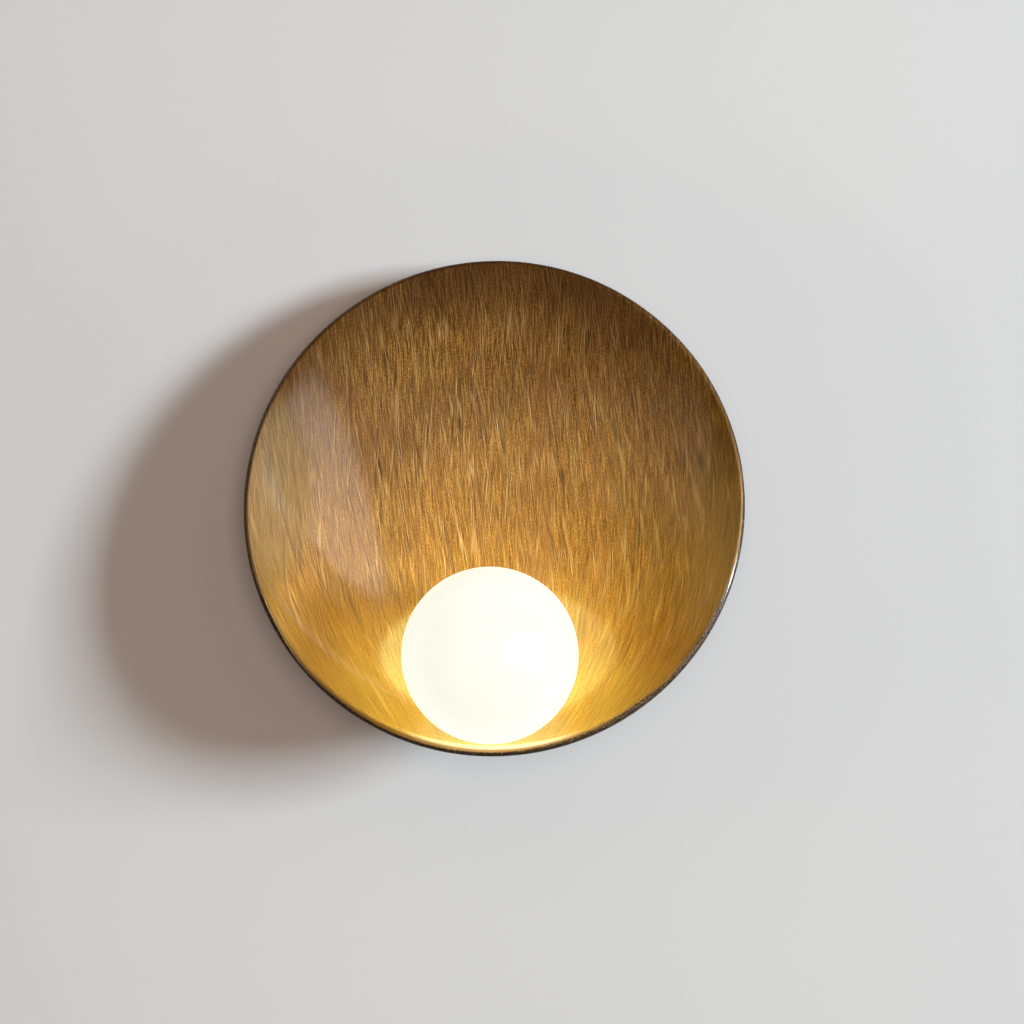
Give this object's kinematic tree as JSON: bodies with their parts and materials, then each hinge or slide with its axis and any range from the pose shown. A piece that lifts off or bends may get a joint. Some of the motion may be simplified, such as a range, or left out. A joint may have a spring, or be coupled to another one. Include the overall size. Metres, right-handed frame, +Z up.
{
  "type": "resin wall light",
  "caption": "Wall light with a tilted round cast-resin dish in brushed bronze and a lit opal glass globe set low in the dish, carried on a round wall box with a slotted bracket.",
  "frame": {"origin": "middle of the two bracket slots, on the wall plane", "axes": "+X to the viewer's right, +Y into the wall, +Z up the wall; the front looks to -Y"},
  "size_m": [0.2598, 0.138, 0.2541],
  "materials": {
    "resin_bronze": "cast resin with a brushed antique bronze coat",
    "opal_glass": "satin opal glass, lit warm white",
    "dark_bronze_paint": "powder coat, dark bronze",
    "zinc_steel": "zinc plated",
    "brass": "plain turned brass",
    "bronzed_steel": "bronze lacquer",
    "ceramic": "unglazed steatite",
    "nylon_white": "white nylon",
    "nylon_black": "black nylon",
    "rubber_black": "black rubber",
    "silicone_clear": "translucent silicone",
    "lead_brown": "brown sleeve",
    "lead_blue": "blue sleeve",
    "lead_green": "green and yellow sleeve",
    "bulb_plastic": "white moulded plastic",
    "bulb_cover": "clear cover",
    "pcb": "white solder mask",
    "led_yellow": "phosphor",
    "tinned": "tinned copper"
  },
  "bodies": {
    "fixture": {"dish": "resin_bronze", "dish_inserts": "brass", "housing": "dark_bronze_paint", "housing_screws": "zinc_steel", "spring_washers": "zinc_steel", "lead_grommet": "rubber_black", "wall_bracket": "zinc_steel", "side_screws": "brass", "earth_tag": "tinned", "earth_screw": "brass", "terminal_block": "nylon_white", "terminal_barrels": "brass", "terminal_screws": "zinc_steel", "block_screws": "zinc_steel", "seat_washer": "silicone_clear", "gallery": "bronzed_steel", "nipple": "zinc_steel", "nipple_nuts": "zinc_steel", "back_washer": "zinc_steel", "tooth_washer": "zinc_steel", "nipple_bush": "nylon_black", "holder_stirrup": "zinc_steel", "holder_screws": "zinc_steel", "holder_contacts": "tinned", "lampholder": "ceramic", "live_lead": "lead_brown", "neutral_lead": "lead_blue", "earth_lead": "lead_green"},
    "seal": {"globe_seal": "silicone_clear"},
    "globe": {"globe": "opal_glass"},
    "bulb": {"bulb_base": "bulb_plastic", "bulb_pins": "tinned", "bulb_envelope": "bulb_cover", "led_board": "pcb", "led_chips": "led_yellow"}
  },
  "joints": [
    {"name": "globe_advance", "type": "slide", "parent": "fixture", "child": "seal", "axis": [0, -0.9703, 0.2419], "range_m": [0, 0.008]},
    {"name": "globe_turn", "type": "hinge", "parent": "seal", "child": "globe", "pos_m": [0, -0.04218, -0.02922], "axis": [0, -0.9703, 0.2419], "range_deg": [0, 720]},
    {"name": "bulb_pull", "type": "slide", "parent": "fixture", "child": "bulb", "axis": [0, -0.9703, 0.2419], "range_m": [0, 0.013]}
  ],
  "couplings": [
    {"joint": "globe_advance", "follows": "globe_turn", "m_per_rad": 0.0006366}
  ]
}
